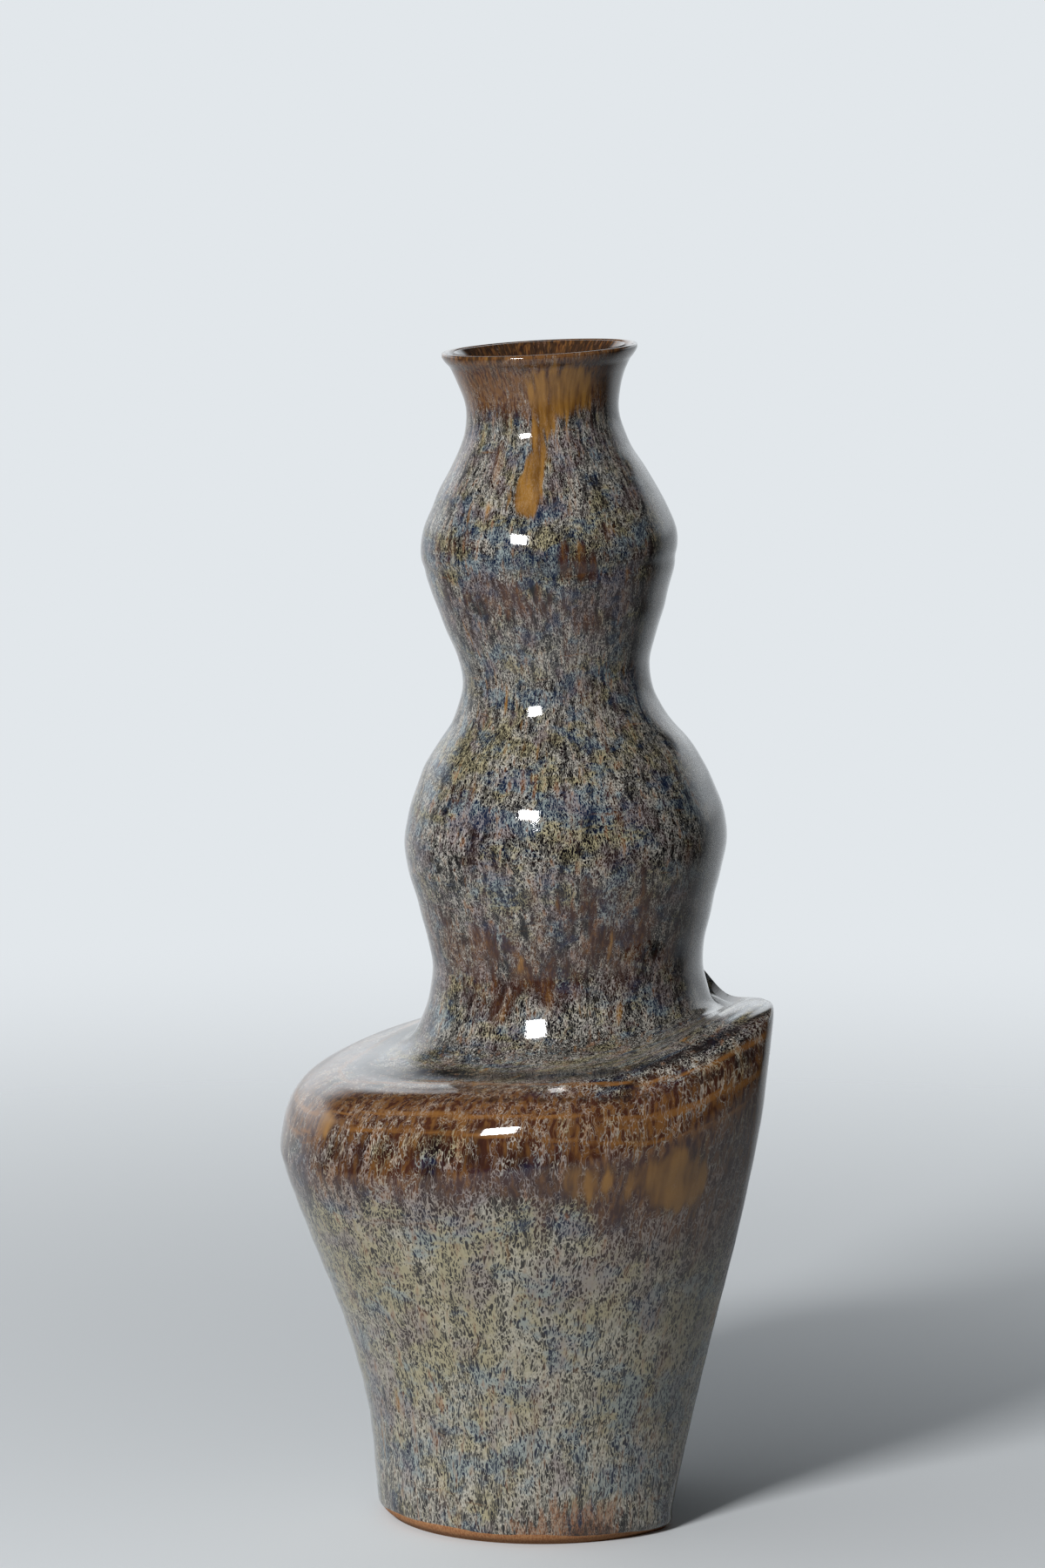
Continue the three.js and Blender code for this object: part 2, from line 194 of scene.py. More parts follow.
@dataclass(frozen=True)
class RingStack:
    """The vase's form: rings up a profile, cut off by a back that leans out towards the top.

    The columns of a station are its radius, height, setback towards the wall, tilt in degrees with
    the wall side up, extra lift of the wall side and softness of the corner against the back.
    """

    body: tuple = (
        (38.6, 0, 0, 0, 0, 6),
        (41.2, 2.2, 0, 0, 0, 6),
        (42, 7, 0, 0, 0, 8),
        (44.4, 28, 0.2, 0.5, 0, 3),
        (50.7, 51.5, 0.6, 2, 0, 3),
        (59.9, 75.8, 1.2, 4, 1, 6),
        (66.8, 95, 1.8, 6, 3.4, 10),
        (69.2, 105.5, 2.3, 7.5, 5.5, 14),
        (66.6, 117, 2.8, 8, 5.4, 10),
        (59.6, 122.4, 3.4, 8.5, 3.2, 5),
        (50, 123.8, 4.6, 8.2, 2.6, 3),
        (41, 125.2, 6.2, 6.2, 1.5, 2),
        (36.6, 131.6, 7, 4.5, 0.3, 2),
    )
    neck: tuple = (
        (34.6, 143, 7.3),
        (37.5, 157, 7.2),
        (41.1, 175, 6.7),
        (35.4, 193, 5.6),
        (26.6, 206, 4.7),
        (23.9, 217.5, 4.1),
        (28.7, 233, 3.2),
        (32.6, 249, 2.3),
        (28.1, 262, 1.6),
        (21.5, 274, 1),
        (19.3, 283, 0.6),
        (21.4, 291.8, 0),
        (24.7, 297.4, -0.2),
        (24, 299, -0.25),
    )
    neck_tilt: float = 3.2
    neck_softness: float = 2.0
    middle_lift: float = 0.55
    corner_lift: float = 7.0
    body_wall: float = 5.5
    neck_wall: float = 4.2
    lip_wall: float = 3.0
    neck_thins: tuple = (10, 14)
    lip_thins: float = 23.0
    back_slant: float = 9.6
    back_at_foot: float = 27.6
    back_thickness: float = 6.0
    back_facing_limit: float = 0.05
    out_of_reach: float = 1e3
    chords: int = 40

    @property
    def lip(self) -> int:
        """The last station."""
        return len(self.body) + len(self.neck) - 1

    @property
    def back_normal(self) -> Array:
        """The direction that the back faces, towards the wall and a little down."""
        slant = math.radians(self.back_slant)
        return np.array([0.0, math.cos(slant), -math.sin(slant)])

    @property
    def back_distance(self) -> float:
        """How far the back's plane is from the origin."""
        return self.back_at_foot * math.cos(math.radians(self.back_slant))

    def table(self) -> Array:
        """All stations as rows, with one more at each end in line with the last two."""
        stance = (self.neck_tilt, 0.0, self.neck_softness)
        rows = np.array([*self.body, *[(*ring, *stance) for ring in self.neck]], dtype=float)
        return np.vstack([2 * rows[0] - rows[1], rows, 2 * rows[-1] - rows[-2]])

    def at(self, station: Array) -> tuple[Array, Array]:
        """Reads the stations on a uniform Catmull-Rom curve.

        Args:
            station: places along the profile, of any shape.

        Returns:
            The six columns there, and their rates of change, in a last axis.
        """
        rows = self.table()
        first = np.clip(np.floor(station).astype(int), 0, self.lip - 1)
        part = (station - first)[..., None]
        a, b, c, d = (rows[first + step] for step in range(4))
        start, end = (c - a) / 2, (d - b) / 2
        cube = 2 * b - 2 * c + start + end
        square = -3 * b + 3 * c - 2 * start - end
        value = ((cube * part + square) * part + start) * part + b
        return value, (3 * cube * part + 2 * square) * part + start

    def length(self, station: Array) -> Array:
        """Millimetres along the profile from the foot, by adding up short chords."""
        fine = np.linspace(0.0, self.lip, self.chords * self.lip + 1)
        value, _ = self.at(fine)
        steps = np.hypot(np.diff(value[:, 0]), np.diff(value[:, 1]))
        return np.interp(station, fine, np.concatenate([[0.0], np.cumsum(steps)]))

    def wall(self, station: Array) -> Array:
        """Clay thickness: the body's wall thins above the shoulder and again at the lip."""
        wall = self.body_wall + (self.neck_wall - self.body_wall) * smoothstep(*self.neck_thins, station)
        return wall + (self.lip_wall - wall) * smoothstep(self.lip_thins, self.lip, station)

    def points(
        self, station: Array, turn: Array, inset: Array, back_inset: float = 0.0
    ) -> Array:
        """Points on a surface inside the vase's outside.

        Each ring goes out from its centre along a tilted ray. It reaches the ring's radius less the
        inset, measured square to the profile, or the back's plane, whichever is nearer, rounded
        over where the two lengths come within the corner's softness of each other.

        Args:
            station: places along the profile.
            turn: bearings in radians from the wall side (+Y) towards +X.
            inset: how far inside the outside the surface lies.
            back_inset: how far inside the back's plane it lies.

        Returns:
            Points with their coordinates in a last axis.
        """
        value, rate = self.at(station)
        radius, height, setback, tilt, lift, softness = np.moveaxis(value, -1, 0)
        slope = unit(rate[..., :2])
        tilt = np.radians(tilt)
        side = np.cos(turn)
        share = self.middle_lift + self.corner_lift * np.sin(turn) ** 2
        facing = np.maximum(side, 0) ** 2 * share
        ray = np.stack(np.broadcast_arrays(
            np.sin(turn), side * np.cos(tilt), side * np.sin(tilt)), -1)
        centre = np.stack(np.broadcast_arrays(
            0.0 * side, setback, height + inset * slope[..., 0] + lift * facing), -1)
        reach = radius - inset * slope[..., 1]
        towards = ray @ self.back_normal
        gap = self.back_distance - back_inset - centre @ self.back_normal
        faces_back = towards > self.back_facing_limit
        to_back = gap / np.where(faces_back, towards, 1.0)
        to_back = np.where(faces_back, to_back, self.out_of_reach)
        near = np.maximum(softness - np.abs(reach - to_back), 0) / softness
        reach = np.minimum(reach, to_back) - near * near * softness / 4
        return centre + reach[..., None] * ray


@dataclass(frozen=True)
class ThrowingMarks:
    """Low rings that fingers leave in the wall, all cut inwards from the outside.

    The whole turn sinks a little too, so that the dressed vase stays inside its solids' box. The
    columns of a groove are its station, its reach and its depth.
    """

    pitch: float = 9.5
    depth: float = 0.1
    turn_pitch: float = 4.6
    turn_depth: float = 0.04
    turn_sink: float = 0.12
    turn_station: float = 7.75
    turn_reach: float = 0.8
    grooves: tuple = ((9.42, 0.16, 0.05), (19.72, 0.1, 0.28), (24.45, 0.16, 0.2))
    groove_wander: float = 0.03
    start: tuple = (1.0, 2.5)
    end: tuple = (24.5, 25.5)

    def inset(self, form: RingStack, station: Array, turn: Array) -> Array:
        """Depth of the marks: spiral waves that climb one pitch a turn, and a few single grooves.

        Args:
            form: the vase's form.
            station: places along the profile.
            turn: bearings in radians.

        Returns:
            Depths in millimetres.
        """
        along = form.length(station)
        broad = 0.5 - 0.5 * np.cos(2 * np.pi * along / self.pitch + turn)
        close = 0.5 - 0.5 * np.cos(2 * np.pi * along / self.turn_pitch + turn)
        level = smoothstep(*self.start, station) * (1 - smoothstep(*self.end, station))
        depth = self.depth * level * broad
        turn_cut = self.turn_sink + self.turn_depth * close
        depth = depth + turn_cut * bump(self.turn_station, self.turn_reach, station)
        wander = self.groove_wander * np.sin(2 * turn)
        for place, reach, cut in self.grooves:
            depth = depth + cut * bump(place, reach, station + wander)
        return depth


def side_climb(turn: Array) -> Array:
    """Rises from 0 at the back to 1 between side and front, and falls a little at the front."""
    away = np.abs(np.degrees(np.angle(np.exp(1j * turn))))
    return smoothstep(*CLIMB_RISES, away) - CLIMB_FALL * smoothstep(*CLIMB_FALLS, away)


@dataclass(frozen=True)
class GlazeBand:
    """A band right round the vase: its station at the back, its reach up and down, its strength, how
    many stations it climbs towards the sides, as on a vase that leans while it is glazed, and its wave.
    """

    station: float
    reach: float
    strength: float
    climb: float = 0.0
    wave: float = 0.05

    def field(self, station: Array, turn: Array, points: Array) -> Array:
        """A bell across the band, a little wavy around the vase."""
        level = station - self.climb * side_climb(turn) + self.wave * np.sin(BAND_WAVES * turn)
        return self.strength * bump(self.station, self.reach, level)


@dataclass(frozen=True)
class GlazeSpot:
    """A place where the glaze differs: bearing and height of its middle, its half sizes, strength."""

    bearing: float
    height: float
    across: float
    along: float
    strength: float = 1.0

    def field(self, station: Array, turn: Array, points: Array) -> Array:
        """A soft dome over the spot, highest at its middle and 0 from its edge out.

        Args:
            station: places along the profile; not used.
            turn: bearings in radians.
            points: surface points in millimetres.

        Returns:
            The dome's height at each point.
        """
        away = np.angle(np.exp(1j * (turn - math.radians(self.bearing))))
        sideways = away * np.hypot(points[..., 0], points[..., 1]) / self.across
        upwards = (points[..., 2] - self.height) / self.along
        return self.strength * np.maximum(1 - (sideways ** 2 + upwards ** 2) / DOME_SPREAD, 0.0)


# Where each layer of the glaze lies, placed from the photograph
GLAZE_MAP: dict[Layer, tuple[GlazeBand | GlazeSpot, ...]] = {
    Layer.THIN: (
        GlazeBand(6.6, 1.35, 1.12, 2.1), GlazeBand(25.6, 1.3, 2.1), GlazeBand(23.9, 0.75, 1.8),
        GlazeBand(13.6, 0.8, 0.52), GlazeBand(5.3, 0.9, 0.75, 1.6), GlazeBand(19.3, 0.5, 0.3),
    ),
    Layer.LINE: (
        GlazeBand(7.7, 0.12, 1.0, 2.3), GlazeBand(7.1, 0.1, 1.0, 1.3), GlazeBand(6.6, 0.07, 0.8, 1.3),
        GlazeBand(24.9, 0.1, 0.7),
    ),
    Layer.DARK: (
        GlazeBand(8.6, 0.36, 1.0, 1.9), GlazeBand(7.5, 0.14, 0.55, 1.5), GlazeBand(11.2, 0.6, 0.5, 0.2),
        GlazeBand(19.74, 0.09, 0.4), GlazeBand(25.15, 0.14, 0.9), GlazeBand(25.6, 0.15, 0.8),
        GlazeBand(24.3, 0.9, 0.42), GlazeSpot(112, 247, 9, 5, 0.55), GlazeSpot(80, 250, 12, 9, 0.45),
        GlazeSpot(88, 2.4, 6, 4, 1.3),
    ),
    Layer.AMBER: (
        GlazeSpot(98.5, 247.5, 2.2, 4.5, 0.9), GlazeSpot(88.5, 246, 2.8, 5.5),
        GlazeSpot(153, 250, 8, 4, 0.7), GlazeSpot(97, 163, 4.5, 8, 0.8), GlazeSpot(104, 160, 4, 7, 0.75),
        GlazeSpot(93, 154, 4.5, 8, 0.8), GlazeSpot(115, 143, 9, 7, 0.8), GlazeSpot(137, 152, 4, 8, 0.65),
        GlazeSpot(151, 188, 7, 3, 0.7), GlazeSpot(166, 106, 6, 9, 0.9), GlazeSpot(79, 99, 11, 8, 1.1),
        GlazeSpot(100, 98, 12, 7, 0.7), GlazeSpot(130, 101, 14, 6, 0.6), GlazeSpot(84, 232, 8, 4, 0.7),
        GlazeSpot(76, 159, 9, 12, 0.78), GlazeSpot(140, 139, 8, 8, 0.7),
        GlazeSpot(128, 237, 11, 4.5, 0.85),
    ),
    Layer.RUN: (
        GlazeSpot(90, 289, 8, 6, 0.8), GlazeSpot(104, 284, 2.6, 6, 0.9), GlazeSpot(112, 269, 2.1, 5),
        GlazeSpot(109, 276, 1.8, 7, 0.9), GlazeSpot(115, 263.5, 3.4, 5, 1.0),
        GlazeSpot(78, 97, 10, 7, 0.8), GlazeSpot(97, 98, 6, 5, 0.55), GlazeSpot(164, 107, 3, 5, 0.6),
    ),
    Layer.RUST: (
        GlazeSpot(92, 3.6, 12, 6.5, 1.1), GlazeSpot(103, 3.2, 9, 4.0, 0.9),
    ),
    Layer.OCHRE: (
        GlazeBand(16.4, 0.5, 0.06), GlazeBand(20.2, 0.3, 0.05), GlazeBand(4.8, 1.6, 0.11),
        GlazeBand(10.4, 0.8, 0.06), GlazeSpot(146, 198, 16, 8, 0.12), GlazeSpot(98, 179, 14, 4, 0.14),
        GlazeSpot(118, 254, 9, 4, 0.12),
    ),
    Layer.BLUE: (
        GlazeBand(20.0, 0.5, 0.08), GlazeBand(15.6, 0.3, 0.07), GlazeBand(2.2, 1.2, 0.07),
        GlazeBand(17.6, 0.6, 0.04), GlazeSpot(100, 184.5, 18, 4, 0.14), GlazeSpot(115, 247, 14, 5, 0.12),
        GlazeSpot(154, 11.5, 10, 6, 0.12), GlazeSpot(92, 15.8, 12, 6, 0.1),
    ),
    Layer.PLUM: (
        GlazeBand(19.0, 0.5, 0.07), GlazeBand(21.9, 0.6, 0.06), GlazeBand(12.9, 0.6, 0.08),
        GlazeBand(5.2, 0.8, 0.16, 1.3), GlazeBand(14.4, 0.6, 0.05), GlazeSpot(134, 243, 10, 4, 0.12),
    ),
}


@dataclass(frozen=True)
class ReactiveGlaze:
    """Rutile stoneware glaze over iron-rich clay, poured and fired glossy.

    Pale crystals float in it as fine vertical hairs over a dark ground. It breaks to amber brown
    where it ran thin, on the lip, the ridges and the shoulder's turn. The outside is hard glass, so
    lamps show in it as sharp white shapes and the backdrop as pale edges.
    """

    name: str = "rutile_stoneware_glaze_fired_glossy"
    thread: tuple[str, str] = ("#8a8781", "#d2cdc2")
    thread_ochre: str = "#aca27c"
    thread_teal: str = "#8c9fa5"
    thread_lilac: str = "#92868a"
    thread_tan: str = "#a98f76"
    thread_body: str = "#c8c0a7"
    ground: str = "#100e10"
    ground_navy: str = "#13223d"
    ground_plum: str = "#33221f"
    ground_body: str = "#48433a"
    amber: tuple[str, str] = ("#4b2a1c", "#7e562f")
    amber_line: str = "#8f6233"
    honey: tuple[str, str] = ("#6c471b", "#a57736")
    rust: tuple[str, str] = ("#5a3522", "#a8744c")
    clay: tuple[str, str] = ("#a0673f", "#c18e60")
    soot: str = "#1d1a1a"
    # Noises: name, millimetres around and along the flow, detail and how strong the detail is
    noises: tuple = (
        ("thread", 0.42, 1.2, 1.0, 0.5),
        ("net", 0.62, 1.75, 1.0, 0.5),
        ("lock", 1.6, 4.5, 2.0, 0.5),
        ("streak", 2.3, 11.0, 2.5, 0.5),
        ("smear", 5.0, 17.0, 3.0, 0.5),
        ("ring", 15.0, 1.3, 2.0, 0.5),
        ("ochre", 11.0, 7.5, 4.0, 0.68),
        ("blue", 9.9, 6.0, 4.0, 0.68),
        ("plum", 8.8, 8.25, 4.0, 0.68),
        ("grit", 0.3, 0.4, 1.0, 0.5),
        ("peel", 3.0, 4.0, 1.0, 0.5),
    )
    apart: tuple = (13.7, -9.1, 5.3)
    drift_size: float = 6.0
    drift: tuple = (1.8, 1.8, 2.2)
    cover_limits: tuple = (0.565, 0.611)
    thread_relief: float = 0.25
    relief: float = 0.025
    relief_depth: float = 0.25
    roughness: float = 0.045
    bare_roughness: float = 0.85
    ior: float = 1.55

    def material(self) -> bpy.types.Material:
        """Builds the material from the piece's flow coordinates, which are in millimetres.

        Each noise has one size around the vase and one along the flow. A net of pale threads lies
        over a dark ground, and slow clouds in low bands tint both. Thin glaze has fewer threads over
        amber brown, and where it ran off it is amber alone.

        Returns:
            The finished material.
        """
        made, tree = blank_material(self.name)
        read = "ShaderNodeAttribute"
        flow = add(tree, read, out="Vector", attribute_name=Layer.FLOW.value)
        level = {
            one: add(tree, read, out="Fac", attribute_name=one.value)
            for one in Layer if one is not Layer.FLOW
        }

        # Curling drift, so that no thread runs straight
        sway = add(tree, NOISE, {"Vector": flow, "Scale": 1 / self.drift_size, "Detail": 2.0}, "Color")
        place = add(tree, VECTOR, {0: sway, 1: self.drift, 2: flow}, operation="MULTIPLY_ADD")

        noise = {}
        for turn, (name, around, along, detail, strong) in enumerate(self.noises):
            spread = (1 / around, 1 / around, 1 / along)
            apart = tuple(turn * far for far in self.apart)
            at = add(tree, VECTOR, {0: place, 1: spread, 2: apart}, operation="MULTIPLY_ADD")
            noise[name] = add(tree, NOISE, {"Vector": at, "Scale": 1.0, "Detail": detail,
                                            "Roughness": strong})

        # Smooth steps: a noise with its weight about its middle, a layer added to it, the limits
        # between which the step rises and its highest value
        steps = {
            "ochre": ("ochre", 1.0, Layer.OCHRE, -0.02, 0.15, 1.0),
            "blue": ("blue", 1.0, Layer.BLUE, 0.0, 0.14, 1.0),
            "plum": ("plum", 1.0, Layer.PLUM, 0.0, 0.15, 1.0),
            "stray": ("smear", 1.0, None, 0.09, 0.24, 0.8),
            "thin": ("smear", 2.2, Layer.THIN, 0.1, 1.0, 0.95),
            "line": ("ring", 2.4, Layer.LINE, 0.35, 1.1, 0.85),
            "dark": ("lock", 3.2, Layer.DARK, 0.35, 1.0, 0.9),
            "amber": ("streak", 2.6, Layer.AMBER, 0.25, 1.1, 0.8),
            "run": ("streak", 1.6, Layer.RUN, 0.2, 0.6, 0.88),
            "rust": ("lock", 3.0, Layer.RUST, 0.25, 0.9, 0.9),
            "bare": ("streak", 0.6, Layer.BARE, 0.4, 0.6, 1.0),
            "tone": ("grit", 1.0, None, -0.16, 0.16, 1.0),
            "soot": ("net", 2.4, Layer.RUST, 0.9, 1.2, 0.9),
            "gold": ("net", 6.0, Layer.THIN, 0.2, 2.2, 0.95),
            "sheen": ("streak", 1.0, None, -0.2, 0.2, 1.0),
        }
        step = {}
        for name, (source, weight, layer, low, high, top) in steps.items():
            value = add(tree, MATH, {0: noise[source], 1: weight, 2: -0.5 * weight},
                        operation="MULTIPLY_ADD")
            if layer:
                value = add(tree, MATH, {0: value, 1: level[layer]})
            step[name] = add(tree, RANGE, {"Value": value, "From Min": low, "From Max": high,
                                           "To Max": top}, interpolation_type="SMOOTHSTEP")
        brown = step["thin"]
        for name in ("amber", "line", "stray"):
            brown = add(tree, MATH, {0: brown, 1: step[name]}, operation="MAXIMUM")

        # Threads lie where a noise passes its middle. What is added with its weight draws them closer
        # together, and what is taken away thins them out
        peaks = [
            add(tree, MATH, {0: noise[name], 1: 0.5}, operation="PINGPONG") for name in ("thread", "net")
        ]
        cover = add(tree, MATH, {0: peaks[0], 1: peaks[1]}, operation="MAXIMUM")
        for source, weight in (
            (noise["lock"], 0.14), (brown, -0.015), (step["amber"], -0.028), (step["dark"], -0.04),
            (level[Layer.BODY], 0.024), (level[Layer.THIN], -0.009), (noise["streak"], 0.05),
            (noise["smear"], 0.05),
        ):
            cover = add(tree, MATH, {0: source, 1: weight, 2: cover}, operation="MULTIPLY_ADD")
        low, high = self.cover_limits
        cover = add(tree, RANGE, {"Value": cover, "From Min": low, "From Max": high},
                    interpolation_type="SMOOTHSTEP")

        # Colours laid over each other, each with how far it covers the one before
        pale = linear(self.thread[0])
        for amount, weight, over in (
            (step["tone"], 1.0, self.thread[1]), (level[Layer.BODY], 0.5, self.thread_body),
            (step["ochre"], 0.85, self.thread_ochre), (step["blue"], 0.75, self.thread_teal),
            (step["plum"], 0.7, self.thread_lilac), (level[Layer.BODY], 0.15, self.thread_body),
            (brown, 0.4, self.thread_tan), (step["rust"], 0.7, self.thread_tan),
        ):
            part = add(tree, MATH, {0: amount, 1: weight}, operation="MULTIPLY")
            pale = add(tree, MIX, {FACTOR: part, FIRST: pale, SECOND: linear(over)}, data_type="RGBA")
        amber, rust, honey, clay = (
            add(tree, MIX, {FACTOR: step[name], FIRST: linear(first), SECOND: linear(second)},
                data_type="RGBA")
            for name, (first, second) in (
                ("gold", self.amber), ("tone", self.rust), ("sheen", self.honey), ("tone", self.clay))
        )
        sooty = add(tree, MIX, {FACTOR: step["soot"], FIRST: rust, SECOND: linear(self.soot)},
                    data_type="RGBA")
        colour = linear(self.ground)
        for amount, weight, over in (
            (level[Layer.BODY], 0.6, linear(self.ground_body)),
            (step["plum"], 0.8, linear(self.ground_plum)),
            (step["blue"], 0.85, linear(self.ground_navy)), (brown, 1.0, amber),
            (step["line"], 0.85, linear(self.amber_line)), (step["rust"], 1.0, rust),
            (step["dark"], 0.85, linear(self.soot)), (cover, 1.0, pale),
            (step["line"], 0.35, linear(self.amber_line)), (step["run"], 1.0, honey),
            (step["rust"], 0.38, sooty), (step["bare"], 1.0, clay),
        ):
            part = add(tree, MATH, {0: amount, 1: weight}, operation="MULTIPLY")
            colour = add(tree, MIX, {FACTOR: part, FIRST: colour, SECOND: over}, data_type="RGBA")

        rough = add(tree, RANGE, {"Value": step["bare"], "To Min": self.roughness,
                                  "To Max": self.bare_roughness})
        relief = add(tree, MATH, {0: cover, 1: self.thread_relief, 2: noise["peel"]},
                     operation="MULTIPLY_ADD")
        relief = add(tree, "ShaderNodeBump", {"Height": relief, "Strength": self.relief,
                                              "Distance": self.relief_depth * MM})
        shader = add(tree, "ShaderNodeBsdfPrincipled",
                     {"Base Color": colour, "Roughness": rough, "IOR": self.ior, "Normal": relief})
        add(tree, "ShaderNodeOutputMaterial", {"Surface": shader})
        return made


@dataclass(frozen=True)
class EarthFinish:
    """Clay or plain glaze that reads object coordinates: a mottled colour with fine grit."""

    name: str
    tones: tuple[str, str, str]
    grit: float
    mottle: float
    roughness: float
    relief: float
    ior: float = 1.5
    relief_depth: float = 0.3
    patch: tuple = (0.35, 0.65)
    speck: tuple = (0.6, 0.7)

    def material(self) -> bpy.types.Material:
        """Builds the material: broad mottling between two tones, and grit in a third.

        Returns:
            The finished material.
        """
        made, tree = blank_material(self.name)
        place = add(tree, "ShaderNodeTexCoord", out="Object")
        broad = add(tree, NOISE, {"Vector": place, "Scale": 1 / (self.mottle * MM), "Detail": 3.0})
        fine = add(tree, NOISE, {"Vector": place, "Scale": 1 / (self.grit * MM), "Detail": 2.0})
        patch = add(tree, RANGE, {"Value": broad, "From Min": self.patch[0], "From Max": self.patch[1]})
        speck = add(tree, RANGE, {"Value": fine, "From Min": self.speck[0], "From Max": self.speck[1]})
        colour = add(tree, MIX, {FACTOR: patch, FIRST: linear(self.tones[0]),
                                 SECOND: linear(self.tones[1])}, data_type="RGBA")
        colour = add(tree, MIX, {FACTOR: speck, FIRST: colour, SECOND: linear(self.tones[2])},
                     data_type="RGBA")
        bumps = add(tree, "ShaderNodeBump",
                    {"Height": fine, "Strength": self.relief, "Distance": self.relief_depth * MM})
        shader = add(tree, "ShaderNodeBsdfPrincipled",
                     {"Base Color": colour, "Roughness": self.roughness, "IOR": self.ior,
                      "Normal": bumps})
        add(tree, "ShaderNodeOutputMaterial", {"Surface": shader})
        return made


# Clay wiped clean and fired: dry, warm and sandy, with no shine
BARE_STONEWARE = EarthFinish(
    "bare_stoneware_wiped_and_fired", ("#b8794f", "#9c6240", "#5e3a28"), 0.7, 9.0, 0.85, 0.35)
# Brown glaze poured in and out again: dark, smooth and wet-looking
LINER_GLAZE = EarthFinish(
    "iron_liner_glaze_poured", ("#4a2c1a", "#2f1d14", "#6b4426"), 1.2, 8.0, 0.12, 0.05, 1.52)


@dataclass
class ClayPiece:
    """One patch of the ring stack with its whole thickness: outside, inside and joint faces."""

    form: RingStack
    marks: ThrowingMarks
    node: str
    low: float
    high: float
    turns: Array
    closed: bool
    rolled_lip: bool = False
    row_size: float = 1.0
    lip_rows: int = 9
    lip_bulge: float = 0.9
    lip_thin: float = 1.6
    lip_dark: float = 0.85
    fine_rows: int = 400

    def outside(self, station: Array, turn: Array) -> Array:
        """The thrown outside, marks included."""
        return self.form.points(station, turn, self.marks.inset(self.form, station, turn))

    def inside(self, station: Array, turn: Array) -> Array:
        """The inside, one wall's thickness in, and one slab's thickness in at the back."""
        return self.form.points(
            station, turn, self.form.wall(station) + 0 * turn, self.form.back_thickness)

    def facing(self, side: Any, station: Array, turn: Array) -> Array:
        """Outward normals, from the change of the surface along and around the vase.

        Args:
            side: the outside or inside function.
            station: places along the profile.
            turn: bearings in radians.

        Returns:
            Unit vectors.
        """
        step = 0.004
        top = np.minimum(station + step, self.form.lip)
        up = side(top, turn) - side(np.maximum(station - step, 0.0), turn)
        around = side(station, turn + step) - side(station, turn - step)
        return unit(np.cross(up, around))

    def stations(self) -> Array:
        """Stations up the piece, about one row size apart along the profile."""
        fine = np.linspace(self.low, self.high, self.fine_rows)
        along = self.form.length(fine)
        rows = max(2, round((along[-1] - along[0]) / self.row_size) + 1)
        return np.interp(np.linspace(along[0], along[-1], rows), along, fine)

    def build(self) -> bpy.types.Object:
        """Makes the piece's mesh.

        The outside runs up, an elliptical lip or a flat joint leads over, the inside runs down, and
        a joint closes the loop below. A patch that isn't a whole ring is closed at both ends.

        Returns:
            The new object.
        """
        station, turn = self.stations()[:, None], self.turns[None, :]
        outer, inner = self.outside(station, turn), self.inside(station, turn)[::-1]
        outer_n = self.facing(self.outside, station, turn)
        inner_n = -self.facing(self.inside, station, turn)[::-1]
        rows, normals = [outer], [outer_n]
        if self.rolled_lip:
            roll = np.linspace(0, np.pi, self.lip_rows + 2)[1:-1, None, None]
            half = (outer[-1:] - inner[:1]) / 2
            rim = unit(np.cross(self.around(turn), half))
            middle = (outer[-1:] + inner[:1]) / 2
            rows.append(middle + half * np.cos(roll) + self.lip_bulge * rim * np.sin(roll))
            wide = np.linalg.norm(half, axis=-1, keepdims=True)
            normals.append(unit(unit(half) * np.cos(roll) / wide + rim * np.sin(roll) / self.lip_bulge))
        rows.append(inner)
        normals.append(inner_n)
        grid, grid_n = np.concatenate(rows), np.concatenate(normals)
        return self.mesh(grid, grid_n, len(outer), station, turn)

    def around(self, turn: Array) -> Array:
        """The direction around the vase at each bearing."""
        return np.stack([np.cos(turn), -np.sin(turn), 0 * turn], -1)

    def mesh(
        self, grid: Array, grid_n: Array, outer: int, station: Array, turn: Array
    ) -> bpy.types.Object:
        """Joins the rows into a closed mesh with its normals, layers and finishes.

        Args:
            grid: points by row and bearing, up the outside and down the inside.
            grid_n: their normals.
            outer: how many rows are on the outside.
            station: the outside rows' stations.
            turn: bearings in radians.

        Returns:
            The new object.
        """
        count, wide = grid.shape[:2]
        index = np.arange(count * wide).reshape(count, wide)
        quads = grid_faces(index, self.closed, True)
        first_inner = count - 1 if self.rolled_lip else outer - 1
        row = np.repeat(np.arange(count), quads.shape[1])
        flat, finish = (row == first_inner) | (row == count - 1), row >= first_inner
        quads = quads.reshape(-1, 4)
        if not self.closed:
            up, down = np.arange(outer - 1), count - 1 - np.arange(outer - 1)
            start = [index[up, 0], index[down, 0], index[down - 1, 0], index[up + 1, 0]]
            end = [index[up, -1], index[up + 1, -1], index[down - 1, -1], index[down, -1]]
            quads = np.vstack([quads, np.stack(start, -1), np.stack(end, -1)])
            flat = np.concatenate([flat, np.ones(2 * len(up), bool)])
            finish = np.concatenate([finish, np.ones(2 * len(up), bool)])
        layers = self.layers(grid, outer, station, turn)
        points, normals = grid.reshape(-1, 3), grid_n.reshape(-1, 3)
        return make_object(self.node, points, quads, normals, flat, finish, layers)

